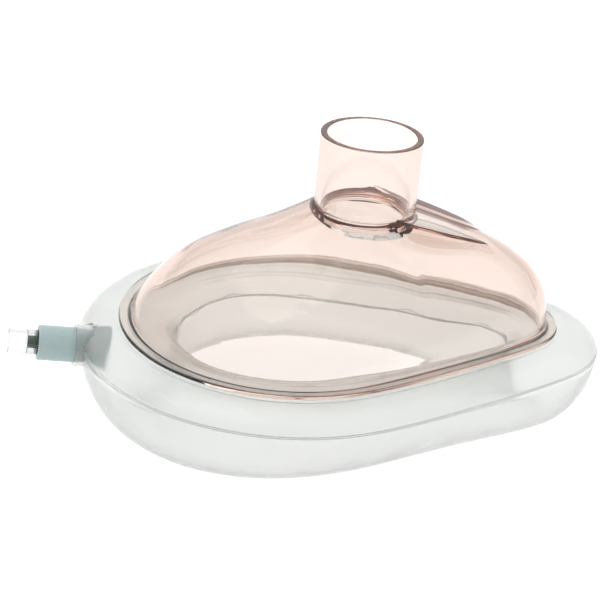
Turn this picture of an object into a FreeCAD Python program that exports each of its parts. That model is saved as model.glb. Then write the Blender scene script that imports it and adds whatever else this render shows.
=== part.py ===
import FreeCAD, Part
import bisect
import math
import os

# Resuscitation face mask: a clear dome with a 22 mm socket, bonded to an air-filled cushion
# that is blown up through a spring-loaded check valve at the chin.
#
# Millimetres. +Z is up and is the socket's axis. The cushion rests on z = 0.
# +X points to the nose end, -X to the chin end, and y = 0 is the plane of symmetry.
# Outlines are eggs: a wide chin arc and a narrow nose arc joined by nearly straight sides.
# An egg is drawn from how far it reaches in each direction, so an outline parallel to it
# is the same egg with its reach made longer or shorter.

# ---- driving dimensions: cushion ----
SEAM_HEIGHT = 19.5            # rest plane to the seam line round the cushion
SEAM_CHIN_RADIUS = 50.4
SEAM_CHIN_X = -19.1
SEAM_NOSE_RADIUS = 23.5
SEAM_NOSE_X = 42.4
OPENING_CHIN_RADIUS = 25.0    # the hole in the ring, for the face
OPENING_CHIN_X = -19.5
OPENING_NOSE_RADIUS = 9.0
OPENING_NOSE_X = 32.0
CROWN_HEIGHT = 6.4            # seam to the top of the ring
CHIN_DEPTH = SEAM_HEIGHT      # seam to the underside, at the chin, sides and nose
SIDE_DEPTH = 15.3
NOSE_DEPTH = 18.6
WAIST = 0.6                   # how much the ring is raised beside the nose
CUSHION_WALL = 0.9
LAND_STEP = 0.6               # flange stands this much above the land it is bonded to

# ---- driving dimensions: dome ----
FLANGE_CHIN_RADIUS = 41.3
FLANGE_CHIN_X = -18.4
FLANGE_NOSE_RADIUS = 17.3
FLANGE_NOSE_X = 36.8
FLANGE_TOP = 6.3              # above the seam
FLANGE_THICKNESS = 1.5
FLANGE_WIDTH = 2.6            # flat top, from its edge to the foot of the wall
DOME_WALL = 1.6
BOSS_TOP = 37.4               # above the seam
BOSS_RIM = 0.3                # ledge round the collar's foot
BOSS_THICKNESS = 2.4
SIDE_BULGE = 1.6              # rounding of an egg where its arcs meet its sides

# ---- driving dimensions: wedge that braces the collar towards the nose ----
WEDGE_START = 4.0             # from the collar's axis, within its foot
WEDGE_START_HEIGHT = 39.3     # of the flat top above the seam
WEDGE_START_HALF_WIDTH = 11.8
WEDGE_MIDDLE_HALF_WIDTH = 10.2
WEDGE_END_HALF_WIDTH = 5.6
WEDGE_LENGTH = 28.0
WEDGE_SLOPE = 0.308
WEDGE_DROP = 10.0             # how far its sides run down into the dome
WEDGE_SPREAD = 3.5            # how far its sides lean out over that drop
WEDGE_NOSE_RUN = 6.0          # how far its end leans out over that drop

# ---- driving dimensions: collar, a 22 mm conical socket drawn at its mean bore ----
COLLAR_RADIUS = 12.75
SOCKET_RADIUS = 11.1
SOCKET_DEPTH = 19.0
GAS_WAY_RADIUS = 10.2
COLLAR_HEIGHT = 19.1          # above the boss
COLLAR_SEATING = 1.2          # sunk into the boss
MOUTH_ROUNDING = 0.4

# ---- driving dimensions: inflation valve, drawn along -X and then tilted ----
VALVE_TILT = 5.0              # degrees; its port points a little up
SLEEVE_RADIUS = 4.4
SLEEVE_OUTSIDE = 10.5         # sleeve beyond the seam line
SLEEVE_INSIDE = 8.0           # sleeve within the cushion
NECK_WALL = 0.9
NECK_OUTSIDE = 1.4
NECK_INSIDE = 3.5
PORT_RADIUS = 3.06
PORT_OUTSIDE = 7.3            # clear port beyond the sleeve
PORT_END_INSET = 1.5          # port's inner end, back from the sleeve's inner end
LUER_RADIUS = 2.1
LUER_DEPTH = 4.7
TIP_CLEARANCE = 0.3           # round the stem's tip
GUIDE_LENGTH = 1.4
GUIDE_CLEARANCE = 0.06        # running fit of the stem in its seat
CHAMBER_RADIUS = 2.45

# ---- driving dimensions: what moves in the valve ----
STEM_RADIUS = 1.6
STEM_SHOWING = 2.4            # stem seen through the clear port
STEM_WAIST_RADIUS = 1.2
FLUTE_WIDTH = 0.8
FLUTE_DEPTH = 0.55
HEAD_RADIUS = 2.1
HEAD_THICKNESS = 0.8
SEAL_RADIUS = 2.25
SEAL_THICKNESS = 0.8
PIN_RADIUS = 0.7
PIN_LENGTH = 5.0
STEM_TRAVEL = 2.0
WIRE_RADIUS = 0.18
SPRING_RADIUS = 1.35          # to the middle of the wire
SPRING_TURNS = 6
RETAINER_THICKNESS = 1.2
RETAINER_HOLE_RADIUS = 0.5
RETAINER_HOLES = 4

# ---- modelling values ----
AROUND = 32                   # stations round an egg
SECTION = 16                  # stations round the cushion's section
FILTER_PASSES = 30
FAR = 200.0                   # past any edge of the mask
FINE = 3600                   # steps that an egg is measured in

# Meridians of the dome, from its foot to the boss, at stations from the nose (0) round to the
# chin (180). Each row is a height as a share of the rise, then how far out the wall still is
# at each station, as a share of the run.
MERIDIAN_STATIONS = (0, 60, 90, 120, 180)
MERIDIANS = [
    (0.00, 1.000, 1.000, 1.000, 1.000, 1.000),
    (0.11, 0.985, 0.985, 0.985, 0.970, 0.950),
    (0.25, 0.960, 0.930, 0.920, 0.890, 0.870),
    (0.39, 0.905, 0.845, 0.810, 0.755, 0.795),
    (0.52, 0.815, 0.715, 0.650, 0.570, 0.705),
    (0.66, 0.650, 0.520, 0.435, 0.365, 0.540),
    (0.79, 0.435, 0.310, 0.240, 0.195, 0.325),
    (0.91, 0.200, 0.115, 0.090, 0.075, 0.140),
    (1.00, 0.000, 0.000, 0.000, 0.000, 0.000),
]

# ---- sizes that follow ----
flange_top = SEAM_HEIGHT + FLANGE_TOP
flange_bottom = flange_top - FLANGE_THICKNESS
land_height = flange_top - LAND_STEP
boss_top = SEAM_HEIGHT + BOSS_TOP
boss_radius = COLLAR_RADIUS + BOSS_RIM
collar_bottom = boss_top - COLLAR_SEATING
collar_top = boss_top + COLLAR_HEIGHT
socket_floor = collar_top - SOCKET_DEPTH
seam_chin_end = SEAM_CHIN_X - SEAM_CHIN_RADIUS
sleeve_outer_end = seam_chin_end - SLEEVE_OUTSIDE
sleeve_inner_end = seam_chin_end + SLEEVE_INSIDE
port_tip = sleeve_outer_end - PORT_OUTSIDE
port_inner_end = sleeve_inner_end - PORT_END_INSET
stem_tip = sleeve_outer_end - STEM_SHOWING
luer_floor = port_tip + LUER_DEPTH
seat_face = stem_tip + STEM_TRAVEL + STEM_SHOWING
guide_start = seat_face - GUIDE_LENGTH
seal_back = seat_face + SEAL_THICKNESS
head_back = seal_back + HEAD_THICKNESS
retainer_face = port_inner_end - RETAINER_THICKNESS


# ---- eggs and smooth surfaces ----
def egg(chin_radius, chin_x, nose_radius, nose_x, offset=0.0):
    """Evenly spaced points (x, y) round an egg, from its nose tip and back to it."""
    def reach(angle):
        chin = chin_x * math.cos(angle) + chin_radius
        nose = nose_x * math.cos(angle) + nose_radius
        return (chin + nose) / 2 + math.hypot((chin - nose) / 2, SIDE_BULGE) + offset

    def point(angle):
        step = 1e-4
        turn = (reach(angle + step) - reach(angle - step)) / (2 * step)
        x = reach(angle) * math.cos(angle) - turn * math.sin(angle)
        y = reach(angle) * math.sin(angle) + turn * math.cos(angle)
        return x, y

    fine = [point(2 * math.pi * i / FINE) for i in range(FINE + 1)]
    walked = [0.0]
    for before, after in zip(fine, fine[1:]):
        walked.append(walked[-1] + math.dist(before, after))
    return [fine[bisect.bisect_left(walked, walked[-1] * i / AROUND)] for i in range(AROUND)]


def seam_egg(offset=0.0):
    return egg(SEAM_CHIN_RADIUS, SEAM_CHIN_X, SEAM_NOSE_RADIUS, SEAM_NOSE_X, offset)


def opening_egg(offset=0.0):
    return egg(OPENING_CHIN_RADIUS, OPENING_CHIN_X, OPENING_NOSE_RADIUS, OPENING_NOSE_X, offset)


def flange_egg(offset=0.0):
    return egg(FLANGE_CHIN_RADIUS, FLANGE_CHIN_X, FLANGE_NOSE_RADIUS, FLANGE_NOSE_X, offset)


def closed_curve(points):
    """A closed smooth edge through the points."""
    curve = Part.BSplineCurve()
    curve.interpolate(Points=points, PeriodicFlag=True)
    return curve.toShape()


def egg_prism(outline, bottom, top):
    points = [FreeCAD.Vector(x, y, bottom) for x, y in outline]
    face = Part.Face(Part.Wire([closed_curve(points)]))
    return face.extrude(FreeCAD.Vector(0, 0, top - bottom))


def ring_solid(targets):
    """A closed ring whose smooth surface passes through rows of points, one row a section."""
    poles = [row[:] for row in targets]
    for _ in range(FILTER_PASSES):
        poles = [[poles[i][j] + targets[i][j] - spline_value(poles, i, j)
                  for j in range(SECTION)] for i in range(AROUND)]
    surface = Part.BSplineSurface()
    surface.buildFromPolesMultsKnots(
        poles, [1] * (AROUND + 1), [1] * (SECTION + 1),
        list(range(AROUND + 1)), list(range(SECTION + 1)), True, True, 3, 3)
    solid = Part.Solid(Part.Shell([surface.toShape()]))
    if solid.Volume < 0:
        solid.reverse()
    return solid


def spline_value(poles, i, j):
    """Where a uniform cubic surface passes beside pole (i, j)."""
    weights = ((-1, 1 / 6), (0, 4 / 6), (1, 1 / 6))
    total = FreeCAD.Vector()
    for di, wi in weights:
        for dj, wj in weights:
            total += poles[(i + di) % AROUND][(j + dj) % SECTION] * (wi * wj)
    return total


# ---- round pieces ----
def upright(radius, bottom, top):
    return Part.makeCylinder(radius, top - bottom, FreeCAD.Vector(0, 0, bottom))


def lying(radius, start, end):
    """A cylinder on the valve's axis before it is tilted, from x = start to x = end."""
    centre = FreeCAD.Vector(start, 0, SEAM_HEIGHT)
    return Part.makeCylinder(radius, end - start, centre, FreeCAD.Vector(1, 0, 0))


def tilted(shape):
    """Tilt a piece of the valve about the middle of its sleeve's outer end."""
    pivot = FreeCAD.Vector(sleeve_outer_end, 0, SEAM_HEIGHT)
    shape.rotate(pivot, FreeCAD.Vector(0, 1, 0), VALVE_TILT)
    return shape


# ---- cushion ----
def cushion_depth(angle):
    """Depth of the ring below its seam, from the nose (0) to the chin (pi)."""
    ends = (CHIN_DEPTH + NOSE_DEPTH) / 2
    lean = (NOSE_DEPTH - CHIN_DEPTH) / 2 - WAIST
    return ((ends + SIDE_DEPTH) / 2 + lean * math.cos(angle)
            + (ends - SIDE_DEPTH) / 2 * math.cos(2 * angle) + WAIST * math.cos(3 * angle))


def cushion_ring(inset):
    sections = []
    for i, (outer, inner) in enumerate(zip(seam_egg(-inset), opening_egg(inset))):
        outside = FreeCAD.Vector(*outer, SEAM_HEIGHT)
        inside = FreeCAD.Vector(*inner, SEAM_HEIGHT)
        middle = (outside + inside) * 0.5
        section = []
        for j in range(SECTION):
            angle = 2 * math.pi * j / SECTION
            depth = CROWN_HEIGHT if math.sin(angle) > 0 else cushion_depth(2 * math.pi * i / AROUND)
            lift = FreeCAD.Vector(0, 0, (depth - inset) * math.sin(angle))
            section.append(middle + (outside - middle) * math.cos(angle) + lift)
        sections.append(section)
    return ring_solid(sections)


def above(height):
    corner = FreeCAD.Vector(-FAR / 2, -FAR / 2, height)
    return Part.makeBox(FAR, FAR, FAR, corner)


def make_cushion():
    bladder = cushion_ring(0).cut(above(land_height))
    recess = egg_prism(flange_egg(), flange_bottom, flange_bottom + FAR)
    cavity = cushion_ring(CUSHION_WALL).cut(above(flange_bottom - CUSHION_WALL))
    neck = lying(SLEEVE_RADIUS + NECK_WALL,
                 seam_chin_end - NECK_OUTSIDE, seam_chin_end + NECK_INSIDE)
    bore = lying(SLEEVE_RADIUS, seam_chin_end - FAR, seam_chin_end + SLEEVE_INSIDE)
    return bladder.cut(recess).cut(cavity).fuse(tilted(neck)).cut(tilted(bore))


# ---- dome ----
def at_station(angle, values):
    """The value at an angle between the meridian stations, with no kink at any of them."""
    degrees = math.degrees(angle)
    degrees = min(degrees, 360 - degrees)
    last = len(MERIDIAN_STATIONS) - 1
    upper = min(bisect.bisect_right(MERIDIAN_STATIONS, degrees), last)
    start, end = MERIDIAN_STATIONS[upper - 1], MERIDIAN_STATIONS[upper]
    share = (1 - math.cos(math.pi * (degrees - start) / (end - start))) / 2
    return values[upper - 1] * (1 - share) + values[upper] * share


def dome_body(inset):
    """The smooth bowl under the boss. The inside of the wall is the bowl with an inset."""
    foot = flange_egg(-FLANGE_WIDTH - inset)
    low = flange_top if inset == 0 else flange_bottom
    high = boss_top - inset
    ring = boss_radius - inset
    levels = []
    for share, *outs in MERIDIANS:
        points = []
        for i, (x, y) in enumerate(foot):
            angle = 2 * math.pi * i / AROUND
            out = at_station(angle, outs)
            points.append(FreeCAD.Vector(ring * math.cos(angle) * (1 - out) + x * out,
                                         ring * math.sin(angle) * (1 - out) + y * out,
                                         low + share * (high - low)))
        levels.append(Part.Wire([closed_curve(points)]))
    return Part.makeLoft(levels, True)


def wedge(inset):
    """A flat-topped brace from the collar down towards the nose, with crisp edges."""
    stations = ((0.0, WEDGE_START_HALF_WIDTH), (0.5, WEDGE_MIDDLE_HALF_WIDTH),
                (1.0, WEDGE_END_HALF_WIDTH))
    length = WEDGE_LENGTH - inset
    outlines = []
    for drop in (WEDGE_DROP, 0.0):
        lean = drop / WEDGE_DROP
        crease = []
        for share, half in stations:
            run = share * length
            crease.append(FreeCAD.Vector(
                WEDGE_START + run + lean * share * WEDGE_NOSE_RUN,
                half - inset + lean * WEDGE_SPREAD,
                SEAM_HEIGHT + WEDGE_START_HEIGHT - inset - WEDGE_SLOPE * run - drop))
        start, middle, end = crease
        mirrored = [FreeCAD.Vector(p.x, -p.y, p.z) for p in crease]
        outlines.append(Part.Wire([
            Part.Arc(start, middle, end).toShape(),
            Part.makeLine(end, mirrored[2]),
            Part.Arc(*reversed(mirrored)).toShape(),
            Part.makeLine(mirrored[0], start)]))
    return Part.makeLoft(outlines, True, True)


def make_dome_shell():
    flange = egg_prism(flange_egg(), flange_bottom, flange_top)
    outside = flange.fuse(dome_body(0)).fuse(wedge(0))
    boss = upright(boss_radius, boss_top - BOSS_THICKNESS, boss_top + FAR)
    inside = dome_body(DOME_WALL).fuse(wedge(DOME_WALL)).cut(boss)
    gas_way = upright(GAS_WAY_RADIUS, flange_bottom, boss_top)
    recess = upright(COLLAR_RADIUS, collar_bottom, boss_top + FAR)
    return outside.cut(inside).cut(gas_way).cut(recess)


def make_connector_collar():
    tube = upright(COLLAR_RADIUS, collar_bottom, collar_top)
    socket = upright(SOCKET_RADIUS, socket_floor, collar_top)
    gas_way = upright(GAS_WAY_RADIUS, collar_bottom, socket_floor)
    collar = tube.cut(socket).cut(gas_way)
    mouth = [edge for edge in collar.Edges
             if abs(edge.BoundBox.ZMin - collar_top) < 1e-6
             and edge.BoundBox.XMax > COLLAR_RADIUS - 1e-3
             and edge.BoundBox.ZLength < 1e-6]
    return collar.makeFillet(MOUTH_ROUNDING, mouth)


# ---- inflation valve ----
def make_valve_sleeve():
    tube = lying(SLEEVE_RADIUS, sleeve_outer_end, sleeve_inner_end)
    return tilted(tube.cut(lying(PORT_RADIUS, sleeve_outer_end, sleeve_inner_end)))


def make_luer_body():
    tube = lying(PORT_RADIUS, port_tip, port_inner_end)
    bores = [lying(LUER_RADIUS, port_tip, luer_floor),
             lying(STEM_RADIUS + TIP_CLEARANCE, luer_floor, guide_start),
             lying(STEM_RADIUS + GUIDE_CLEARANCE, guide_start, seat_face),
             lying(CHAMBER_RADIUS, seat_face, port_inner_end)]
    for bore in bores:
        tube = tube.cut(bore)
    return tilted(tube)


def make_valve_stem():
    stem = lying(STEM_RADIUS, stem_tip, seat_face)
    for turn in range(4):
        flute = Part.makeBox(seat_face - stem_tip - FLUTE_WIDTH, FLUTE_WIDTH, FLUTE_DEPTH * 2)
        flute.translate(FreeCAD.Vector(stem_tip + FLUTE_WIDTH, -FLUTE_WIDTH / 2,
                                       SEAM_HEIGHT + STEM_RADIUS - FLUTE_DEPTH))
        flute.rotate(FreeCAD.Vector(0, 0, SEAM_HEIGHT), FreeCAD.Vector(1, 0, 0), 90 * turn)
        stem = stem.cut(flute)
    for radius, start, end in ((STEM_WAIST_RADIUS, seat_face - FLUTE_WIDTH, seal_back),
                               (HEAD_RADIUS, seal_back, head_back),
                               (PIN_RADIUS, head_back, head_back + PIN_LENGTH)):
        stem = stem.fuse(lying(radius, start, end))
    return tilted(stem)


def make_stem_seal():
    disc = lying(SEAL_RADIUS, seat_face, seal_back)
    return tilted(disc.cut(lying(STEM_WAIST_RADIUS, seat_face, seal_back)))


def make_valve_spring():
    length = retainer_face - head_back - 2 * WIRE_RADIUS
    path = Part.makeHelix(length / SPRING_TURNS, length, SPRING_RADIUS)
    start = FreeCAD.Vector(SPRING_RADIUS, 0, 0)
    section = Part.Wire([Part.Circle(start, FreeCAD.Vector(0, 1, 0), WIRE_RADIUS).toShape()])
    coil = Part.Wire(path).makePipeShell([section], True, True)
    coil.rotate(FreeCAD.Vector(), FreeCAD.Vector(0, 1, 0), 90)
    coil.translate(FreeCAD.Vector(head_back + WIRE_RADIUS, 0, SEAM_HEIGHT))
    return tilted(coil)


def make_spring_retainer():
    disc = lying(CHAMBER_RADIUS, retainer_face, port_inner_end)
    for turn in range(RETAINER_HOLES):
        hole = lying(RETAINER_HOLE_RADIUS, retainer_face, port_inner_end)
        hole.translate(FreeCAD.Vector(0, CHAMBER_RADIUS / 2, 0))
        hole.rotate(FreeCAD.Vector(0, 0, SEAM_HEIGHT), FreeCAD.Vector(1, 0, 0),
                    360 / RETAINER_HOLES * turn)
        disc = disc.cut(hole)
    return tilted(disc)


PIECES = {
    "dome_shell": make_dome_shell,
    "connector_collar": make_connector_collar,
    "cushion": make_cushion,
    "valve_sleeve": make_valve_sleeve,
    "luer_body": make_luer_body,
    "valve_stem": make_valve_stem,
    "stem_seal": make_stem_seal,
    "valve_spring": make_valve_spring,
    "spring_retainer": make_spring_retainer,
}

os.makedirs("parts", exist_ok=True)
for name, make in PIECES.items():
    shape = make()
    if len(shape.Solids) == 1:
        shape = shape.Solids[0]
    shape.exportStep(f"parts/{name}.step")
    print(f"{name}: {len(shape.Solids)} solid, {shape.Volume / 1000:.2f} cm3, valid {shape.isValid()}")
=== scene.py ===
# %% [markdown]
# # A resuscitation face mask, piece by piece
# The mask is a clear, faintly pink dome bonded to a hollow ring of soft vinyl. A socket on
# top takes the breathing circuit, and a small check valve at the chin blows the ring up.
# The CAD model fixes every size and place. What is made here is how the pieces look:
# their rounded edges, their thin walls and their clear, tinted or coloured plastics.
# %% Load the CAD frame
import bpy
import math
from mathutils import Matrix, Vector, geometry, noise


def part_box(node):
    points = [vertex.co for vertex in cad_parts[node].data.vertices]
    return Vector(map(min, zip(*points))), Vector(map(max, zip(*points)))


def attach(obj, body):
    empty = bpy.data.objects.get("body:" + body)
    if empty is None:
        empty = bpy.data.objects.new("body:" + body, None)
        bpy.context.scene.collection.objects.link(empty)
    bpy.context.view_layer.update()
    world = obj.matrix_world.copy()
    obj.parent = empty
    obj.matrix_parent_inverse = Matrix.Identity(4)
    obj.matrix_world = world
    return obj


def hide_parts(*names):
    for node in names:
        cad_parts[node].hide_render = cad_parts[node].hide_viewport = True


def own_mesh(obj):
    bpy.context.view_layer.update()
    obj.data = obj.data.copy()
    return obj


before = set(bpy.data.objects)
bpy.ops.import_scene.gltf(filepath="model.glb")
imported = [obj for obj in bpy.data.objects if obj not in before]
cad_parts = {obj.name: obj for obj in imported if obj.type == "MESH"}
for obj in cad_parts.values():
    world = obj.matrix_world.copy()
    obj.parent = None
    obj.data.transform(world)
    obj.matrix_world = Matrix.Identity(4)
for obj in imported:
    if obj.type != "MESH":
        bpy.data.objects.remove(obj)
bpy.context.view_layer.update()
MM = 0.001
print("CAD nodes:", ", ".join(sorted(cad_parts)))

# %% [markdown]
# ## Working by hand, in code
# Blender's operators act on whatever is selected, and loading leaves the CAD nodes
# selected. So each piece starts from a clean selection. A turned piece, such as a tube
# with a stepped bore, is a circle that is extruded and scaled from step to step.
# %% Small helpers for modelling


def clean_start():
    """Back to object mode with nothing selected."""
    if bpy.context.object and bpy.context.object.mode != "OBJECT":
        bpy.ops.object.mode_set(mode="OBJECT")
    bpy.ops.object.select_all(action="DESELECT")


def only(piece):
    """Selects one piece and makes it active."""
    clean_start()
    piece.select_set(True)
    bpy.context.view_layer.objects.active = piece


def select_edges(piece, wanted):
    """In edit mode, selects the edges whose two ends pass a test."""
    bpy.ops.mesh.select_mode(type="EDGE")
    bpy.ops.mesh.select_all(action="DESELECT")
    bpy.ops.object.mode_set(mode="OBJECT")
    points = piece.data.vertices
    for edge in piece.data.edges:
        edge.select = all(wanted(points[i].co) for i in edge.vertices)
    bpy.ops.object.mode_set(mode="EDIT")


# %% Turned pieces


def turned(name, rings, around=96, closed=True):
    """A turned piece about the Z axis, from rings of (radius, height) in millimetres."""
    clean_start()
    radius, height = rings[0]
    bpy.ops.mesh.primitive_circle_add(
        vertices=around, radius=radius * MM, location=(0, 0, height * MM))
    piece = bpy.context.object
    piece.name = name
    bpy.ops.object.transform_apply(location=True)
    bpy.ops.object.mode_set(mode="EDIT")
    bpy.ops.mesh.select_all(action="SELECT")
    following = rings[1:] + (rings[:1] if closed else [])
    for next_radius, next_height in following:
        bpy.ops.mesh.extrude_region_move(
            TRANSFORM_OT_translate={"value": (0, 0, (next_height - height) * MM)})
        ratio = next_radius / radius
        bpy.ops.transform.resize(
            value=(ratio, ratio, 1), center_override=(0, 0, next_height * MM))
        radius, height = next_radius, next_height
    bpy.ops.mesh.select_all(action="SELECT")
    bpy.ops.mesh.remove_doubles(threshold=1e-6)
    if not closed:
        bpy.ops.mesh.select_all(action="DESELECT")
        bpy.ops.mesh.select_mode(type="EDGE")
        bpy.ops.mesh.select_non_manifold()
        bpy.ops.mesh.edge_face_add()
        bpy.ops.mesh.select_all(action="SELECT")
    bpy.ops.mesh.normals_make_consistent(inside=False)
    bpy.ops.object.mode_set(mode="OBJECT")
    return piece


# %% Rounding, shading and cutting


def shade(piece, angle):
    """Smooth shading. Large faces stay true, and the small rounded ones take up the turn."""
    only(piece)
    bpy.ops.object.shade_smooth_by_angle(angle=math.radians(angle))
    weighted = piece.modifiers.new("weighted normals", "WEIGHTED_NORMAL")
    weighted.keep_sharp = True
    bpy.ops.object.modifier_apply(modifier=weighted.name)


def soften(piece, width, angle=30, segments=3):
    """Rounds every edge sharper than an angle, as a mould or a cutter leaves it."""
    only(piece)
    rounding = piece.modifiers.new("rounded edges", "BEVEL")
    rounding.width = width * MM
    rounding.segments = segments
    rounding.limit_method = "ANGLE"
    rounding.angle_limit = math.radians(angle)
    bpy.ops.object.modifier_apply(modifier=rounding.name)
    shade(piece, angle)


def cut(piece, tool, operation="DIFFERENCE"):
    """Cuts a tool's shape out of a piece, or joins it on, and removes the tool."""
    only(piece)
    boolean = piece.modifiers.new("cut", "BOOLEAN")
    boolean.object = tool
    boolean.operation = operation
    boolean.solver = "EXACT"
    bpy.ops.object.modifier_apply(modifier=boolean.name)
    bpy.data.objects.remove(tool, do_unlink=True)


def tell(piece):
    size = [max(c) - min(c) for c in zip(*(v.co for v in piece.data.vertices))]
    print(f"{piece.name}: {len(piece.data.polygons)} faces, "
          + " x ".join(f"{s / MM:.1f}" for s in size) + " mm")


# %% [markdown]
# ## Colours and nodes
# Colours are picked as sRGB hex values, and the renderer works in linear light, so one
# function converts them. One more function adds a shader node with its settings, its
# plain values and the sockets that feed it.
# %% Colour and node helpers


def linear(hex_colour):
    """An sRGB hex colour as linear RGBA."""
    parts = [int(hex_colour[i:i + 2], 16) / 255 for i in (1, 3, 5)]
    return (*[c / 12.92 if c <= 0.04045 else ((c + 0.055) / 1.055) ** 2.4 for c in parts], 1)


def add(material, kind, inputs, **settings):
    """Adds a node. Each input is a plain value, or another node's output to link."""
    tree = material.node_tree
    made = tree.nodes.new(kind)
    for name, value in settings.items():
        setattr(made, name, value)
    for name, value in inputs.items():
        if isinstance(value, bpy.types.NodeSocket):
            tree.links.new(value, made.inputs[name])
        else:
            made.inputs[name].default_value = value
    return made


def blank_material(name):
    """An empty node material and its output."""
    material = bpy.data.materials.new(name)
    material.use_nodes = True
    material.node_tree.nodes.clear()
    return material, add(material, "ShaderNodeOutputMaterial", {})


def per_metre(size_mm):
    """A noise scale whose features are about this many millimetres across."""
    return 1 / (size_mm * MM)


def finish_with(piece, material):
    piece.data.materials.clear()
    piece.data.materials.append(material)


# %% [markdown]
# ## Clear plastics
# Clear parts are modelled as real glass-like walls. Light that goes further through the
# plastic loses more, so a thick rim or a wall seen edge on is deeper in colour. That is
# a volume absorption, given as what is left of red, green and blue after a millimetre.
# Moulded walls are never optically flat: a gentle bump a few millimetres across stands
# for flow lines, and the roughness varies a little. Along the cushion's seam, a fine level
# line is painted greyer and less clear: painted shade, standing in for the seam bead's
# shading.
# %% How clear plastics are set
DENSITY = 200.0               # any value that keeps each colour between 0 and 1
SEAM_SHADE_CORE, SEAM_SHADE_EDGE = 0.1, 0.22      # the painted seam shade is full this far out, and gone by this far
# painted shade: the grey of the line painted along the seam
SEAM_SHADE_GREY = "#b4b8b5"
SEAM_SHADE_CLARITY = 0.5            # how clear the painted seam shade is, as a share of the wall's clarity


def painted_seam_shade(material, surface, place, height_mm, base, clarity):
    """Paints shade: greys the plastic in a fine level line along the seam, for the seam bead's
    shading.
    """
    level = add(material, "ShaderNodeSeparateXYZ", {"Vector": place.outputs["Object"]})
    above = add(material, "ShaderNodeMath", {
        0: level.outputs["Z"], 1: height_mm * MM}, operation="SUBTRACT")
    away = add(material, "ShaderNodeMath", {0: above.outputs["Value"]}, operation="ABSOLUTE")
    line = add(material, "ShaderNodeMapRange", {
        "Value": away.outputs["Value"], "From Min": SEAM_SHADE_CORE * MM, "From Max": SEAM_SHADE_EDGE * MM,
        "To Min": 1.0, "To Max": 0.0})
    colour = add(material, "ShaderNodeMix", {
        "Factor": line.outputs["Result"], "A": linear(base), "B": linear(SEAM_SHADE_GREY)},
        data_type="RGBA")
    clear = add(material, "ShaderNodeMapRange", {
        "Value": line.outputs["Result"], "To Min": clarity, "To Max": SEAM_SHADE_CLARITY * clarity})
    material.node_tree.links.new(colour.outputs["Result"], surface.inputs["Base Color"])
    material.node_tree.links.new(clear.outputs["Result"],
                                 surface.inputs["Transmission Weight"])


# %% A maker for clear plastics


def clear_plastic(name, left_per_mm, ior, roughness, wave_mm, wave_height_mm, clarity=1.0,
                  base="#ffffff", seam_shade_height=None):
    """A clear plastic. Its colour is given as what is left of light after a millimetre."""
    material, output = blank_material(name)
    place = add(material, "ShaderNodeTexCoord", {})
    waves = add(material, "ShaderNodeTexNoise", {
        "Vector": place.outputs["Object"], "Scale": per_metre(wave_mm), "Detail": 2.0,
        "Roughness": 0.4})
    bump = add(material, "ShaderNodeBump", {
        "Height": waves.outputs["Fac"], "Distance": wave_height_mm * MM, "Strength": 1.0})
    rough = add(material, "ShaderNodeMapRange", {
        "Value": waves.outputs["Fac"], "To Min": roughness[0], "To Max": roughness[1]})
    surface = add(material, "ShaderNodeBsdfPrincipled", {
        "Base Color": linear(base), "Roughness": rough.outputs["Result"], "IOR": ior,
        "Transmission Weight": clarity, "Normal": bump.outputs["Normal"]})
    # painted shade: a grey, less clear level line at the seam's height, when one is given
    if seam_shade_height:
        painted_seam_shade(material, surface, place, seam_shade_height, base, clarity)
    colour = [1 + math.log(left) / MM / DENSITY for left in left_per_mm]
    volume = add(material, "ShaderNodeVolumeAbsorption", {
        "Color": (*colour, 1), "Density": DENSITY})
    material.node_tree.links.new(surface.outputs["BSDF"], output.inputs["Surface"])
    material.node_tree.links.new(volume.outputs["Volume"], output.inputs["Volume"])
    print(name, "volume colour", [round(c, 3) for c in colour])
    return material


SEAM_HEIGHT = 19.5            # the seam round the cushion, above the table

# %% The three clear plastics
# Polycarbonate, injection moulded in polished steel: clear, glossy, faintly salmon pink.
pink_polycarbonate = clear_plastic(
    "pink_tinted_polycarbonate", (0.955, 0.915, 0.893), 1.58, (0.0, 0.03), 6.0, 0.004)
# Plasticised PVC, dip moulded: soft, a little milky, faintly grey-green where it is thick.
# A grey line of painted shade runs along its seam, for the seam bead's shading.
clear_vinyl = clear_plastic(
    "clear_soft_pvc", (0.986, 0.990, 0.986), 1.53, (0.12, 0.22), 9.0, 0.012, clarity=0.92,
    base="#f9faf9", seam_shade_height=SEAM_HEIGHT)
# Polycarbonate again, but untinted: the valve's small clear port.
clear_polycarbonate = clear_plastic(
    "untinted_polycarbonate", (0.92, 0.925, 0.935), 1.58, (0.0, 0.05), 2.0, 0.004)

# %% [markdown]
# ## Coloured plastics, rubber and steel
# The sleeve is soft vinyl with a grey-teal pigment, so a little light goes into it. The
# stem is a hard green moulding. The seal and the spring sit inside the clear port.
# %% Materials for the valve


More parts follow.
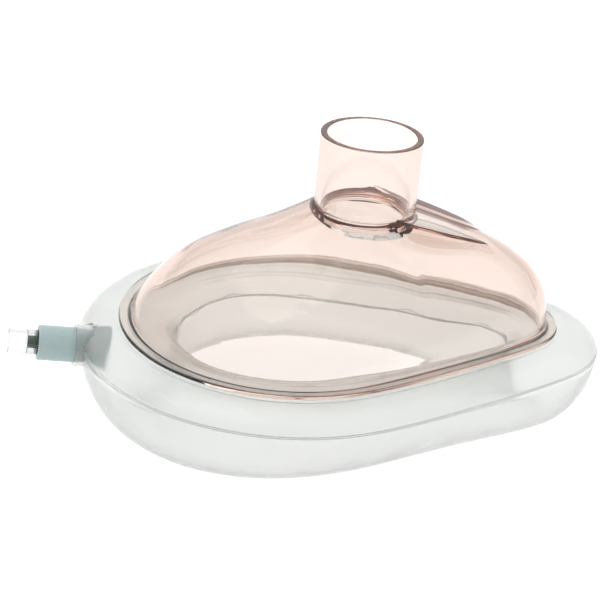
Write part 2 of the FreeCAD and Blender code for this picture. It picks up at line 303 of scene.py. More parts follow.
def opaque(name, dark, light, grain_mm, roughness, bump_mm, ior=1.5, metallic=0.0,
           scatter_mm=0.0):
    """A solid colour between two shades, with a fine grain in its gloss and its surface."""
    material, output = blank_material(name)
    place = add(material, "ShaderNodeTexCoord", {})
    grain = add(material, "ShaderNodeTexNoise", {
        "Vector": place.outputs["Object"], "Scale": per_metre(grain_mm), "Detail": 4.0})
    colour = add(material, "ShaderNodeMix", {
        "Factor": grain.outputs["Fac"], "A": linear(dark), "B": linear(light)},
        data_type="RGBA")
    rough = add(material, "ShaderNodeMapRange", {
        "Value": grain.outputs["Fac"], "To Min": roughness[0], "To Max": roughness[1]})
    bump = add(material, "ShaderNodeBump", {
        "Height": grain.outputs["Fac"], "Distance": bump_mm * MM, "Strength": 1.0})
    surface = add(material, "ShaderNodeBsdfPrincipled", {
        "Base Color": colour.outputs["Result"], "Roughness": rough.outputs["Result"],
        "Metallic": metallic, "Normal": bump.outputs["Normal"]})
    if not metallic:
        surface.inputs["IOR"].default_value = ior
    if scatter_mm:
        surface.inputs["Subsurface Weight"].default_value = 0.5
        surface.inputs["Subsurface Scale"].default_value = scatter_mm * MM
    material.node_tree.links.new(surface.outputs["BSDF"], output.inputs["Surface"])
    return material


# Pigmented PVC, extruded as a soft tube: satin, with a little light going into it.
grey_vinyl = opaque("grey_teal_soft_pvc", "#9db1b1", "#a9bcbc", 1.5, (0.30, 0.42), 0.01,
                    ior=1.53, scatter_mm=0.6)
# Acetal, injection moulded and left matt: a deep green.
green_acetal = opaque("green_moulded_acetal", "#08380c", "#124e1a", 0.6, (0.4, 0.5), 0.01,
                      ior=1.2)
# Nitrile rubber, pressed in a mould: nearly black and dull.
black_rubber = opaque("black_nitrile_rubber", "#141414", "#242424", 0.4, (0.5, 0.7), 0.01)
# Stainless steel, drawn to wire and wound cold: bright, with fine die lines.
spring_wire = opaque("drawn_stainless_steel", "#b8b6b0", "#cfcdc8", 0.3, (0.18, 0.3), 0.002,
                     metallic=1.0)

# %% [markdown]
# ## The outlines
# Looked at from above, every outline of the mask is an egg: a wide chin arc and a narrow
# nose arc with nearly straight sides. An egg is given by how far it reaches in each
# direction, so a parallel outline is the same egg with its reach made longer.
# %% Eggs
SEAM = (50.4, -19.1, 23.5, 42.4)      # chin radius and x, nose radius and x
OPENING = (25.0, -19.5, 9.0, 32.0)
FLANGE = (41.3, -18.4, 17.3, 36.8)
SIDE_BULGE = 1.6
AROUND = 160                          # stations round an egg


even_shares = [i / AROUND for i in range(AROUND)]


def egg(sizes, offset=0.0, shares=even_shares, fine=7200):
    """Points (x, y) in millimetres round an egg, at shares of its length from the nose."""
    chin_radius, chin_x, nose_radius, nose_x = sizes

    def reach(angle):
        chin = chin_x * math.cos(angle) + chin_radius
        nose = nose_x * math.cos(angle) + nose_radius
        return (chin + nose) / 2 + math.hypot((chin - nose) / 2, SIDE_BULGE) + offset

    def point(angle, step=1e-4):
        turn = (reach(angle + step) - reach(angle - step)) / (2 * step)
        return Vector((reach(angle) * math.cos(angle) - turn * math.sin(angle),
                       reach(angle) * math.sin(angle) + turn * math.cos(angle)))

    points = [point(math.tau * i / fine) for i in range(fine)]
    walked = [0.0]
    for here, there in zip(points, points[1:] + points[:1]):
        walked.append(walked[-1] + (there - here).length)
    chosen, at = [], 1
    for share in shares:
        wanted = walked[-1] * share
        while walked[at] < wanted - 1e-9:
            at += 1
        between = (wanted - walked[at - 1]) / (walked[at] - walked[at - 1])
        chosen.append(points[at - 1].lerp(points[at % fine], between))
    return chosen


print("seam egg is", round(max(p.x for p in egg(SEAM)) - min(p.x for p in egg(SEAM)), 1),
      "mm long, CAD cushion", [round(v / MM, 1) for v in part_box("cushion")[1]])

# %% [markdown]
# ## The cushion
# The real one is a hollow ring of thin vinyl, dip moulded in one piece and blown up tight.
# Its section is a flattened oval, and a fine seam bead runs round its widest line. On top
# the dome's flange lies in a shallow recess, with a narrow flat land outside it. Cloth
# simulation suits sewn fabric; this is a taut moulding, so its sections are drawn
# directly, row by row, and the slack in the vinyl is added as faint sculpted wrinkles.
# %% Sections of the cushion
CROWN_HEIGHT = 6.4
CHIN_DEPTH, SIDE_DEPTH, NOSE_DEPTH, WAIST = 19.5, 15.3, 18.6, 0.6
WALL = 0.9
LAND_HEIGHT = 25.2            # the flat land outside the flange
RECESS_HEIGHT = 24.27         # just under the flange, a film of cement below it
BEAD = 0.15                   # how far the seam bead stands out
BOND_GAP = 0.05               # film of cement round the flange
SLACK_HEIGHT = 0.08           # of the wrinkles, which fade out below the seam
SEAM_HALF = 0.30              # the bead's foot, above and below the seam
RIPPLES = ((0.5, 9, 0.0), (0.35, 23, 1.0))    # on the inner bead: height, count, start


def depth_at(angle):
    """How deep the ring is below its seam, from the nose (0) to the chin (pi)."""
    ends = (CHIN_DEPTH + NOSE_DEPTH) / 2
    lean = (NOSE_DEPTH - CHIN_DEPTH) / 2 - WAIST
    return ((ends + SIDE_DEPTH) / 2 + lean * math.cos(angle)
            + (ends - SIDE_DEPTH) / 2 * math.cos(2 * angle) + WAIST * math.cos(3 * angle))


def crossing(inner, outer, outline):
    """Where the line from the inner to the outer point crosses an outline."""
    for a, b in zip(outline, outline[1:] + outline[:1]):
        hit = geometry.intersect_line_line_2d(inner, outer, a, b)
        if hit:
            return hit
    raise ValueError("no crossing")


def wrinkle(point):
    """A faint slackness in the lower half, stretched along the ring, in millimetres."""
    low = max(0.0, min(1.0, (SEAM_HEIGHT - 3 - point.z) / 8))
    turn = math.atan2(point.y, point.x + 5)
    spot = Vector((turn * 5.0, point.z * 0.16, 3.0))
    return low * SLACK_HEIGHT * noise.noise(spot) * (point.z > 0.3)


# %% One section of the cushion


def section(angle, inner, outer, flange, skin):
    """One closed section, from the outer seam up, over the top, and back underneath."""
    inset = WALL if skin == "inside" else BEAD
    half = (outer - inner) / 2
    half = half * (half.length - inset) / half.length
    middle = (outer + inner) / 2
    crown = CROWN_HEIGHT - (WALL if skin == "inside" else 0)
    depth = depth_at(angle) - (WALL if skin == "inside" else 0)
    ceiling = RECESS_HEIGHT - WALL if skin == "inside" else LAND_HEIGHT
    floor = RECESS_HEIGHT - WALL if skin == "inside" else RECESS_HEIGHT
    rows = []

    def place(across, height):
        spot = middle + half * across
        rows.append(Vector((spot.x, spot.y, SEAM_HEIGHT + height)))

    def bead(side):
        for offset, height in ((0, SEAM_HALF), (BEAD, 0.10), (BEAD, -0.10), (0, -SEAM_HALF)):
            reach = 1 + (offset if skin == "outside" else 0) / half.length
            place(side * reach, height * side)

    shoulder = math.asin(min(1, (floor - SEAM_HEIGHT) / crown))
    bead(1)
    rows[:] = rows[::-1]                      # from just below the seam to just above it
    edge = (flange - middle).dot(half) / half.length_squared
    ceiling_rise, floor_rise = ceiling - SEAM_HEIGHT, floor - SEAM_HEIGHT
    for i in range(1, 14):                    # a quarter oval from the seam to the flange
        up = math.radians(4 + 86 * i / 14)
        place(edge + (1 - edge) * math.cos(up), ceiling_rise * math.sin(up))
    place(edge + 0.30 / half.length, ceiling_rise)
    place(edge + 0.10 / half.length, ceiling_rise - 0.02)
    place(edge, ceiling_rise - 0.12 if skin == "outside" else ceiling_rise)
    place(edge, floor_rise)
    far = -math.cos(shoulder)
    for share in (0.2, 0.4, 0.6, 0.8):
        place(edge + (far - edge) * share, floor_rise)
    for i in range(9):
        down = shoulder * (1 - i / 9)
        place(-math.cos(down), crown * math.sin(down))
    ripple = sum(size * math.sin(count * angle + start) for size, count, start in RIPPLES)
    place(-1, SEAM_HALF + ripple)
    place(-1 - (BEAD / half.length if skin == "outside" else 0), ripple)
    place(-1, -SEAM_HALF + ripple)
    for i in range(1, 28):
        under = math.pi * i / 28
        place(-math.cos(under), -depth * math.sin(under))
    return rows


# %% A skin through a ring of sections


def ring_through(name, sections, inside=False, crisp=()):
    """A ring-shaped skin through closed sections, all with the same number of points.

    Crisp lines are sets of points (section, place). A face with two such points at
    opposite corners is split along them, so that the line stays clean.
    """
    around, across = len(sections), len(sections[0])
    points = [tuple(p * MM) for rows in sections for p in rows]
    faces = []
    for i in range(around):
        for j in range(across):
            corners = [(i, j), (i, (j + 1) % across),
                       ((i + 1) % around, (j + 1) % across), ((i + 1) % around, j)]
            a, b, c, d = (station * across + spot for station, spot in corners)
            if any(corners[0] in line and corners[2] in line for line in crisp):
                faces += [(a, b, c), (a, c, d)]
            elif any(corners[1] in line and corners[3] in line for line in crisp):
                faces += [(a, b, d), (b, c, d)]
            else:
                faces.append((a, b, c, d))
    mesh = bpy.data.meshes.new(name)
    mesh.from_pydata(points, [], faces)
    mesh.update()
    piece = bpy.data.objects.new(name, mesh)
    bpy.context.collection.objects.link(piece)
    only(piece)
    bpy.ops.object.mode_set(mode="EDIT")
    bpy.ops.mesh.select_all(action="SELECT")
    bpy.ops.mesh.normals_make_consistent(inside=inside)
    bpy.ops.object.mode_set(mode="OBJECT")
    return piece


# %% Build the two skins of the cushion


def skin_of_cushion(name, skin):
    """One skin of the ring, through a section at every station."""
    flange = egg(FLANGE, BOND_GAP)
    rows = []
    for i, (outer, inner) in enumerate(zip(egg(SEAM), egg(OPENING))):
        edge = crossing(inner, outer, flange)
        rows.append(section(math.tau * i / AROUND, inner, outer, edge, skin))
    slack = [[p + Vector((p.x, p.y, 0)).normalized() * wrinkle(p) for p in row]
             for row in rows]
    return ring_through(name, slack, inside=skin == "inside")


cushion = skin_of_cushion("cushion_bladder", "outside")
lining = skin_of_cushion("cushion_lining", "inside")
clean_start()
lining.select_set(True)
cushion.select_set(True)
bpy.context.view_layer.objects.active = cushion
bpy.ops.object.join()
tell(cushion)

# %% [markdown]
# ### The neck at the chin
# The valve's sleeve is bonded into a short neck. The valve lies along -X and is tilted a
# few degrees about the middle of the sleeve's outer end, so that its port points up a
# little. The neck is turned about Z, laid down along X, tilted, and joined to the ring.
# %% Lay a turned piece along the valve's axis
SLEEVE_OUTER_END, SLEEVE_INNER_END = -80.0, -61.5
VALVE_TILT = math.radians(5.0)
pivot = Vector((SLEEVE_OUTER_END, 0, SEAM_HEIGHT)) * MM


def lay_down(piece):
    """Turns a piece drawn about Z onto the valve's axis. Its heights become places on X."""
    level = Matrix.Translation(Vector((0, 0, SEAM_HEIGHT * MM))) @ Matrix.Rotation(
        math.pi / 2, 4, "Y")
    tilt = (Matrix.Translation(pivot) @ Matrix.Rotation(VALVE_TILT, 4, "Y")
            @ Matrix.Translation(-pivot))
    piece.data.transform(tilt @ level)
    piece.data.update()


# %% Join the neck to the ring and bore it
SLEEVE_RADIUS, SLEEVE_BORE = 4.4, 3.09
NECK_RADIUS = 5.3
NECK_CEMENT = 0.04            # film of cement between the sleeve and the neck
bore_radius = SLEEVE_RADIUS + NECK_CEMENT
neck = turned("neck", [(NECK_RADIUS, -70.9), (NECK_RADIUS, -66.0)], closed=False)
bore = turned("bore", [(bore_radius, -76.0), (bore_radius, -61.0)], closed=False)
for tool in (neck, bore):
    lay_down(tool)
cut(cushion, neck, "UNION")
cut(cushion, bore)
only(cushion)
bpy.ops.object.shade_smooth_by_angle(angle=math.radians(35))
finish_with(cushion, clear_vinyl)
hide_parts("cushion")
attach(cushion, "mask")
tell(cushion)

# %% [markdown]
# ## The dome
# The dome is one injection moulding with no crisp corner on it except its flange. Its
# walls lean, bulge and blend into a flat-topped brace between the collar and the nose.
# No operator blends such surfaces, so the moulding is drawn as sections too: up the
# outside from the flange, over the boss, down the gas way and back under the inside.
# %% Meridians of the dome
FLANGE_TOP, FLANGE_BOTTOM = 25.8, 24.3
FLANGE_WIDTH = 2.6            # from its edge to the foot of the wall
DOME_WALL = 1.6
BOSS_TOP, BOSS_BOTTOM, SEATING = 56.9, 54.5, 1.2
BOSS_RADIUS, COLLAR_RADIUS, GAS_WAY_RADIUS = 13.05, 12.75, 10.2
DOME_AROUND = 288
MERIDIAN_STEPS = 12           # points between one level and the next
STATIONS = (0, 60, 90, 120, 180)      # degrees from the nose to the chin
# Each level: a share of the rise, then how far out the wall still is at each station.
LEVELS = [
    (0.00, 1.000, 1.000, 1.000, 1.000, 1.000),
    (0.11, 0.985, 0.985, 0.985, 0.970, 0.950),
    (0.25, 0.960, 0.930, 0.920, 0.890, 0.870),
    (0.39, 0.905, 0.845, 0.810, 0.755, 0.795),
    (0.52, 0.815, 0.715, 0.650, 0.570, 0.705),
    (0.66, 0.650, 0.520, 0.435, 0.365, 0.540),
    (0.79, 0.435, 0.310, 0.240, 0.195, 0.325),
    (0.91, 0.200, 0.115, 0.090, 0.075, 0.140),
    (1.00, 0.000, 0.000, 0.000, 0.000, 0.000),
]
# Stations lie closer together at the nose, where the shape turns fastest.
dome_shares = [i / DOME_AROUND - 0.5 * math.sin(math.tau * i / DOME_AROUND) / math.tau
               for i in range(DOME_AROUND)]


def at_station(share, values):
    """A value given at the stations, blended smoothly to any share of the way round."""
    degrees = math.degrees(math.tau * share)
    degrees = min(degrees, 360 - degrees)
    upper = next(i for i, s in enumerate(STATIONS) if degrees <= s and i > 0)
    start, end = STATIONS[upper - 1], STATIONS[upper]
    blend = (1 - math.cos(math.pi * (degrees - start) / (end - start))) / 2
    return values[upper - 1] * (1 - blend) + values[upper] * blend


def smooth_path(points):
    """Points along a smooth curve through the points given."""
    path = []
    last = len(points) - 1
    for k in range(last):
        before, here = points[max(k - 1, 0)], points[k]
        there, after = points[k + 1], points[min(k + 2, last)]
        chord = (there - here).length
        leave = (there - before) * (chord / ((there - here).length + (here - before).length))
        arrive = (after - here) * (chord / ((there - here).length + (after - there).length))
        path += geometry.interpolate_bezier(
            here, here + leave / 3, there - arrive / 3, there, MERIDIAN_STEPS + 1)[:-1]
    return path + [points[-1]]


def meridian(share, foot, inset):
    """From the foot of the wall up to the boss, at one station."""
    low = FLANGE_TOP if inset == 0 else FLANGE_BOTTOM
    high = BOSS_TOP - inset
    angle = math.tau * share
    ring = (BOSS_RADIUS - inset) * Vector((math.cos(angle), math.sin(angle)))
    points = []
    for rise, *outs in LEVELS:
        out = at_station(share, outs)
        spot = ring * (1 - out) + foot * out
        points.append(Vector((spot.x, spot.y, low + rise * (high - low))))
    return smooth_path(points)


# %% [markdown]
# ### The brace
# The brace is a sloping flat plate between the collar and the nose. Its long edges are
# crisp and stand about a millimetre above the wall beside them. Light that enters such an
# edge runs along inside the plate, so the edge looks far deeper in colour than the walls.
# Seen as a height above the table, the moulding is whichever is higher, the bowl or the
# brace, and a rounded maximum of the two gives the fillet that a mould has there.
# %% The brace as a height
BRACE_START, BRACE_LENGTH, BRACE_SLOPE = 4.0, 28.0, 0.308
BRACE_TOP = 58.8              # at its start, inside the collar's foot
BRACE_HALF_WIDTHS = (11.8, 10.2, 5.6)
EDGE_STEP = 1.1               # the crisp edge above the wall beside it
SIDE_FALL, SIDE_CURVE = 0.5, 0.4      # beside the edge: a slope that steepens outwards
END_FALL, END_ROUNDING = 10 / 6, 4.0  # past its nose end
START_FALL, START_RUN = 0.4, 3.0      # behind its start: a slope, and how soon it doubles
FILLET = 1.0                  # between the brace and the bowl
STEP_FADE = 3.0               # over this much of its end the step dies away
BLEND_START = 18.0            # the flat begins to blend into the bowl here
WELL_BELOW = 12.0             # a brace this far under the bowl has no effect on it
EDGE_HALF = 0.05              # each crisp edge is a pair of points this far from it


def rounded_max(a, b, rounding):
    """The larger of two numbers, blended where they are nearly alike."""
    return (a + b + math.hypot(a - b, rounding)) / 2


def beyond_edge(point):
    """How far a point lies outside the brace's long edge, seen from above."""
    share = max(0.0, min(1.0, (point.x - BRACE_START) / BRACE_LENGTH))
    first, middle, last = BRACE_HALF_WIDTHS
    bend = 2 * (first + last - 2 * middle)
    return abs(point.y) - first - (last - first - bend) * share - bend * share * share


def brace_height(point):
    """How high the brace, with its falling sides and ends, stands at a point."""
    run = point.x - BRACE_START
    side = beyond_edge(point)
    fall = 0.0
    if side > 0:
        left = max(0.0, min(1.0, (BRACE_LENGTH - run) / STEP_FADE))
        fall = (side * (SIDE_FALL + side * SIDE_CURVE)
                + EDGE_STEP * left * left * (3 - 2 * left))
    fall = rounded_max(fall, (run - BRACE_LENGTH) * END_FALL, END_ROUNDING)
    behind = max(-run, 0.0)
    return (BRACE_TOP - BRACE_SLOPE * max(run, 0.0) - fall
            - START_FALL * behind * (1 + behind / START_RUN))


# %% The bowl and the brace together


def braced(point):
    """A point of the bowl, moved to the brace where the brace stands."""
    brace = brace_height(point)
    if brace < point.z - WELL_BELOW:
        return point
    height = rounded_max(point.z, brace, FILLET)
    if beyond_edge(point) < 0 and point.x > BRACE_START:
        run = point.x - BRACE_START
        blend = max(0.0, min(1.0, (run - BLEND_START) / (BRACE_LENGTH - BLEND_START)))
        blend *= blend * (3 - 2 * blend)
        height = brace * (1 - blend) + height * blend
    return Vector((point.x, point.y, height))


def snap_to_edge(rows):
    """Moves the two points of a meridian that lie either side of the edge up to it.

    Returns the points now just inside the edge, and those just outside it.
    """
    upper, lower = set(), set()
    for i, row in enumerate(rows):
        for j in range(len(row) - 1):
            here, there = row[j], row[j + 1]
            a, b = beyond_edge(here), beyond_edge(there)
            run = here.x - BRACE_START
            if a * b >= 0 or not 0 < run < BRACE_LENGTH:
                continue
            cross, apart = a / (a - b), EDGE_HALF / (there - here).length
            row[j] = here.lerp(there, cross - apart)
            if j + 2 < len(row):
                row[j + 1] = here.lerp(there, cross + apart)
            (upper if a < 0 else lower).add((i, j))
            (lower if a < 0 else upper).add((i, j + 1))
            break
    return upper, lower


# %% Sections of the dome
RECESS_GAP = 0.12             # from the collar's foot to the end of the wall round it
FOOT_FILLET = 0.6             # of the wall, above the flange
BOSS_GAP = 0.05               # from the boss to the inner skin that meets it
FLANGE_POINTS = 10            # points of a section before its wall begins


def round_point(share, radius, height):
    angle = math.tau * share
    return Vector((math.cos(angle) * radius, math.sin(angle) * radius, height))


def outside_of_wall(share, foot):
    """From above the foot fillet, up the wall, to the rim of the collar's recess."""
    wall = [p for p in meridian(share, foot, 0) if p.z > FLANGE_TOP + FOOT_FILLET]
    return wall + [round_point(share, COLLAR_RADIUS + RECESS_GAP, BOSS_TOP + 0.15)]


def dome_section(share, outlines, outside):
    """One closed section: flange, outside, boss, gas way, inside and flange again."""
    edge, foot, inner_foot = outlines
    inwards = (foot - edge).normalized()

    def flange(distance, height):
        spot = edge + inwards * distance
        return Vector((spot.x, spot.y, height))

    inside = meridian(share, inner_foot, DOME_WALL)
    boss = BOSS_RADIUS + BOSS_GAP
    under_boss = [p for p in inside if p.xy.length > boss]
    here, there = under_boss[-1], inside[min(len(under_boss), len(inside) - 1)]
    if there.xy.length < boss:
        past = (here.xy.length - boss) / (here.xy.length - there.xy.length)
        under_boss.append(here.lerp(there, past))
    under_boss += [under_boss[-1]] * (len(inside) - len(under_boss))
    rows = [flange(0.22, FLANGE_BOTTOM), flange(0.07, FLANGE_BOTTOM + 0.07),
            flange(0, FLANGE_BOTTOM + 0.25), flange(0, FLANGE_TOP - 0.3),
            flange(0.09, FLANGE_TOP - 0.09), flange(0.3, FLANGE_TOP),
            flange(1.1, FLANGE_TOP), flange(FLANGE_WIDTH - 0.6, FLANGE_TOP),
            flange(FLANGE_WIDTH - 0.25, FLANGE_TOP + 0.08),
            flange(FLANGE_WIDTH - 0.06, FLANGE_TOP + 0.3)]
    rows += [braced(p) for p in outside]
    rows += [round_point(share, r, z) for r, z in (
        (COLLAR_RADIUS, BOSS_TOP), (COLLAR_RADIUS, BOSS_TOP - SEATING + 0.1),
        (COLLAR_RADIUS - 0.1, BOSS_TOP - SEATING), (GAS_WAY_RADIUS + 0.1, BOSS_TOP - SEATING),
        (GAS_WAY_RADIUS, BOSS_TOP - SEATING - 0.1), (GAS_WAY_RADIUS, BOSS_BOTTOM + 0.2),
        (GAS_WAY_RADIUS + 0.2, BOSS_BOTTOM), (BOSS_RADIUS - 0.4, BOSS_BOTTOM),
        (BOSS_RADIUS, BOSS_BOTTOM + 0.2))]
    rows += reversed(under_boss)
    return rows + [flange(3.0, FLANGE_BOTTOM), flange(1.5, FLANGE_BOTTOM)]


# %% Build the dome
outlines = list(zip(egg(FLANGE, 0, dome_shares), egg(FLANGE, -FLANGE_WIDTH, dome_shares),
                    egg(FLANGE, -FLANGE_WIDTH - DOME_WALL, dome_shares)))
walls = [outside_of_wall(share, o[1]) for share, o in zip(dome_shares, outlines)]
crisp = [{(i, j + FLANGE_POINTS) for i, j in line} for line in snap_to_edge(walls)]
sections = [dome_section(*values) for values in zip(dome_shares, outlines, walls)]
print("points in a dome section:", sorted({len(s) for s in sections}))
dome = ring_through("dome_moulding", sections, crisp=crisp)
only(dome)
bpy.ops.object.mode_set(mode="EDIT")
bpy.ops.mesh.select_all(action="SELECT")
bpy.ops.mesh.remove_doubles(threshold=2e-6)
bpy.ops.object.mode_set(mode="OBJECT")
shade(dome, 40)
finish_with(dome, pink_polycarbonate)
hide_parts("dome_shell")
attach(dome, "mask")
tell(dome)

# %% [markdown]
# ## The collar
# The collar is a separate moulding, made here like a turned piece and cemented into the
# top of the dome. Its bore steps in near the foot: that ledge stops the breathing
# circuit's tapered plug.
# %% Turn the collar
SOCKET_RADIUS, SOCKET_DEPTH = 11.1, 19.0
collar_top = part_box("connector_collar")[1].z / MM
CEMENT = 0.03                 # film of cement between the collar and the dome
seat = BOSS_TOP - SEATING + CEMENT
collar = turned("collar", [
    (COLLAR_RADIUS - CEMENT, seat), (COLLAR_RADIUS - CEMENT, BOSS_TOP + 0.1),
    (COLLAR_RADIUS, BOSS_TOP + 0.2), (COLLAR_RADIUS, collar_top),
    (SOCKET_RADIUS, collar_top), (SOCKET_RADIUS, collar_top - SOCKET_DEPTH),
    (GAS_WAY_RADIUS, collar_top - SOCKET_DEPTH), (GAS_WAY_RADIUS, seat)], around=160)
soften(collar, 0.3)
finish_with(collar, pink_polycarbonate)
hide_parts("connector_collar")
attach(collar, "mask")
tell(collar)

# %% [markdown]
# ## The inflation valve
# A soft grey sleeve holds a small clear port. In the port a sprung green stem keeps a
# rubber seal on its seat; a syringe pressed into the port pushes the stem in.
# Along the valve, places are in millimetres on X before it is tilted.
# %% The sleeve
sleeve = turned("sleeve", [
    (SLEEVE_RADIUS, SLEEVE_OUTER_END), (SLEEVE_RADIUS, SLEEVE_INNER_END),
    (SLEEVE_BORE, SLEEVE_INNER_END), (SLEEVE_BORE, SLEEVE_OUTER_END)])
soften(sleeve, 0.35)
finish_with(sleeve, grey_vinyl)
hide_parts("valve_sleeve")

# %% The port: a chamber for the head, a seat round the stem, then the socket for a syringe
PORT_RADIUS, CHAMBER_RADIUS, SEAT_RADIUS, TIP_BORE, LUER_RADIUS = 3.06, 2.45, 1.66, 1.9, 2.1
PORT_MOUTH, LUER_FLOOR, SEAT_OUTER, SEAT_FACE, PORT_END = -87.3, -82.6, -79.4, -78.0, -63.0
port = turned("port", [
    (PORT_RADIUS, PORT_MOUTH), (PORT_RADIUS, PORT_END), (CHAMBER_RADIUS, PORT_END),
    (CHAMBER_RADIUS, SEAT_FACE), (SEAT_RADIUS, SEAT_FACE), (SEAT_RADIUS, SEAT_OUTER),
    (TIP_BORE, SEAT_OUTER), (TIP_BORE, LUER_FLOOR), (LUER_RADIUS, LUER_FLOOR),
    (LUER_RADIUS, PORT_MOUTH)])
soften(port, 0.12)
finish_with(port, clear_polycarbonate)
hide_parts("luer_body")

# %% The stem, with four flutes that let air past its tip
STEM_RADIUS, WAIST_RADIUS, HEAD_RADIUS, PIN_RADIUS = 1.6, 1.2, 2.1, 0.7
TIP_END, TIP_SHOULDER, WAIST_START = -82.4, -82.1, -78.8
HEAD_FRONT, HEAD_BACK, PIN_END = -77.2, -76.4, -71.4
FLUTES, FLUTE_SHRINK = 4, 0.66
IN_A_FLUTE = 0.965            # cosine of half the angle that a flute takes up
stem = turned("stem", [
    (1.0, TIP_END), (STEM_RADIUS, TIP_SHOULDER), (STEM_RADIUS, WAIST_START),
    (WAIST_RADIUS, WAIST_START), (WAIST_RADIUS, HEAD_FRONT), (HEAD_RADIUS, HEAD_FRONT),
    (HEAD_RADIUS, HEAD_BACK), (PIN_RADIUS, HEAD_BACK), (PIN_RADIUS, PIN_END)],
    around=64, closed=False)
only(stem)
bpy.ops.object.mode_set(mode="EDIT")
for flute in range(FLUTES):
    side = Vector((math.cos(flute * math.pi / 2), math.sin(flute * math.pi / 2)))
    select_edges(stem, lambda p: TIP_SHOULDER - 0.1 < p.z / MM < WAIST_START + 0.1
                 and p.xy.length > (STEM_RADIUS - 0.1) * MM
                 and p.xy.normalized().dot(side) > IN_A_FLUTE)
    bpy.ops.transform.resize(
        value=(FLUTE_SHRINK, FLUTE_SHRINK, 1), center_override=(0, 0, 0))
bpy.ops.object.mode_set(mode="OBJECT")
soften(stem, 0.08)
finish_with(stem, green_acetal)
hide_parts("valve_stem")

# %% The seal behind the seat, and the retainer that closes the chamber
SEAL_RADIUS, RETAINER_RADIUS, AIR_HOLE_RADIUS = 2.25, 2.42, 0.5
RETAINER_FACE = -64.2
seal = turned("seal", [
    (SEAL_RADIUS, SEAT_FACE), (SEAL_RADIUS, HEAD_FRONT), (WAIST_RADIUS, HEAD_FRONT),
    (WAIST_RADIUS, SEAT_FACE)], around=64)
soften(seal, 0.12)
finish_with(seal, black_rubber)
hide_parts("stem_seal")

retainer = turned("retainer", [
    (RETAINER_RADIUS, RETAINER_FACE), (RETAINER_RADIUS, PORT_END),
    (AIR_HOLE_RADIUS, PORT_END), (AIR_HOLE_RADIUS, RETAINER_FACE)], around=64)
soften(retainer, 0.1)
finish_with(retainer, clear_polycarbonate)
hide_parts("spring_retainer")

# %% The spring
SPRING_FOOT, SPRING_HEAD = -76.2, -64.5
SPRING_RADIUS, WIRE_RADIUS, TURNS = 1.35, 0.18, 6
TURN_STEPS = 40


def wound_wire(name):
    """A wire wound round +Z in millimetres, drawn as a curve with a round bevel."""
    curve = bpy.data.curves.new(name, "CURVE")
    curve.dimensions = "3D"
    curve.bevel_depth = WIRE_RADIUS * MM
    curve.bevel_resolution = 3
    curve.use_fill_caps = True
    line = curve.splines.new("POLY")
    line.points.add(TURNS * TURN_STEPS)
    for i, spot in enumerate(line.points):
        angle = math.tau * i / TURN_STEPS
        height = SPRING_FOOT + (SPRING_HEAD - SPRING_FOOT) * i / (TURNS * TURN_STEPS)
        spot.co = (SPRING_RADIUS * math.cos(angle) * MM,
                   SPRING_RADIUS * math.sin(angle) * MM, height * MM, 1)
    piece = bpy.data.objects.new(name, curve)
    bpy.context.collection.objects.link(piece)
    only(piece)
    bpy.ops.object.convert(target="MESH")
    bpy.ops.object.mode_set(mode="EDIT")
    bpy.ops.mesh.select_all(action="SELECT")
    bpy.ops.mesh.remove_doubles(threshold=1e-6)
    bpy.ops.mesh.normals_make_consistent(inside=False)
    bpy.ops.object.mode_set(mode="OBJECT")
    bpy.ops.object.shade_smooth_by_angle(angle=math.radians(50))
    return bpy.context.object


spring = wound_wire("spring")
finish_with(spring, spring_wire)
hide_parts("valve_spring")

# %% Lay the valve's pieces on its axis
for piece in (sleeve, port, stem, seal, retainer, spring):
    lay_down(piece)
    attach(piece, "stem" if piece in (stem, seal) else "mask")
    tell(piece)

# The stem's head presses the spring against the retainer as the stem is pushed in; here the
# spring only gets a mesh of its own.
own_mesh(spring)

# %% [markdown]
# ## Floor, light and camera
# The mask stands on a plain white table under broad soft light from above. The world
# fades from a bright ceiling to a greyer horizon, and the room at the front is darker
# still, which gives the clear walls something to reflect. The backdrop itself is white.
# %% The table
WHITE = "#ffffff"
clean_start()
bpy.ops.mesh.primitive_plane_add(size=12)
table = bpy.context.object
table.name = "table"
white_table, table_output = blank_material("matt_white_table")
table_surface = add(white_table, "ShaderNodeBsdfPrincipled", {
    "Base Color": linear("#808080"), "Roughness": 0.9, "Specular IOR Level": 0.0,
    "Emission Color": linear(WHITE), "Emission Strength": 0.98})
white_table.node_tree.links.new(table_surface.outputs["BSDF"], table_output.inputs["Surface"])
finish_with(table, white_table)
table.location.z = -0.2 * MM
print("table", round(table.dimensions.x, 1), "m across")

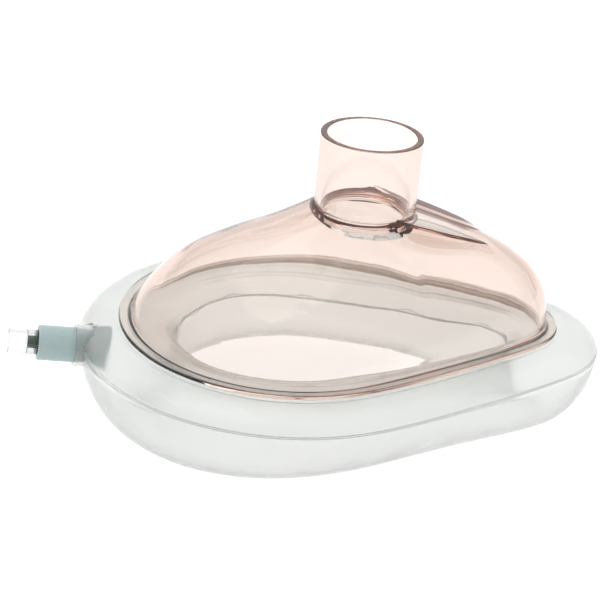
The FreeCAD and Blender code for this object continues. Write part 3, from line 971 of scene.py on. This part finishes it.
# %% The world
HORIZON, ZENITH = 0.93, 1.25
FRONT = 0.75                  # how bright the front of the room is, as a share of that
world = bpy.data.worlds.new("soft_studio")
bpy.context.scene.world = world
world.use_nodes = True
world.node_tree.nodes.clear()
direction = add(world, "ShaderNodeTexCoord", {})
height = add(world, "ShaderNodeSeparateXYZ", {"Vector": direction.outputs["Generated"]})
fade = add(world, "ShaderNodeMapRange", {
    "Value": height.outputs["Z"], "From Min": 0.0, "From Max": 0.8,
    "To Min": HORIZON, "To Max": ZENITH})
towards = add(world, "ShaderNodeMapRange", {
    "Value": height.outputs["Y"], "From Min": -0.9, "From Max": 0.1,
    "To Min": FRONT, "To Max": 1.0})
room = add(world, "ShaderNodeMath", {
    0: fade.outputs["Result"], 1: towards.outputs["Result"]}, operation="MULTIPLY")
eye = add(world, "ShaderNodeLightPath", {})
seen = add(world, "ShaderNodeMix", {
    "Factor": eye.outputs["Is Camera Ray"], "A": room.outputs["Value"], "B": 1.0},
    data_type="FLOAT")
sky = add(world, "ShaderNodeBackground", {
    "Color": linear(WHITE), "Strength": seen.outputs["Result"]})
add(world, "ShaderNodeOutputWorld", {"Surface": sky.outputs["Background"]})

# %% A faint softbox overhead, turned to the mask and left out of its reflections
overhead_data = bpy.data.lights.new("overhead", "AREA")
overhead_data.size = 0.5
overhead_data.energy = 1.0
overhead = bpy.data.objects.new("overhead", overhead_data)
bpy.context.collection.objects.link(overhead)
overhead.location = (-0.15, 0.25, 0.9)
overhead.rotation_euler = Vector(overhead.location).to_track_quat("Z", "Y").to_euler()
overhead.visible_glossy = False

# %% The camera, and how light is followed through the clear walls
BOUNCES = 24                  # light runs a long way inside a rim before it leaves
camera = bpy.data.objects.new("camera", bpy.data.cameras.new("camera"))
bpy.context.collection.objects.link(camera)
camera.data.sensor_width = 36
camera.data.lens = 108.3
camera.data.clip_start = 0.01
right = Vector((0.9796, -0.1819, 0.0853)).normalized()
forward = Vector((0.2008, 0.8817, -0.4269)).normalized()
up = right.cross(forward)
camera.matrix_world = Matrix.Translation(Vector((-106.2, -403.8, 226.5)) * MM) @ Matrix(
    (right, up, -forward)).transposed().to_4x4()
bpy.context.scene.camera = camera
print("camera", round(camera.matrix_world.translation.length, 2), "m from the mask")
bpy.context.scene.view_settings.view_transform = "Standard"
bpy.context.scene.cycles.max_bounces = BOUNCES
bpy.context.scene.cycles.transmission_bounces = BOUNCES
bpy.context.scene.cycles.glossy_bounces = BOUNCES
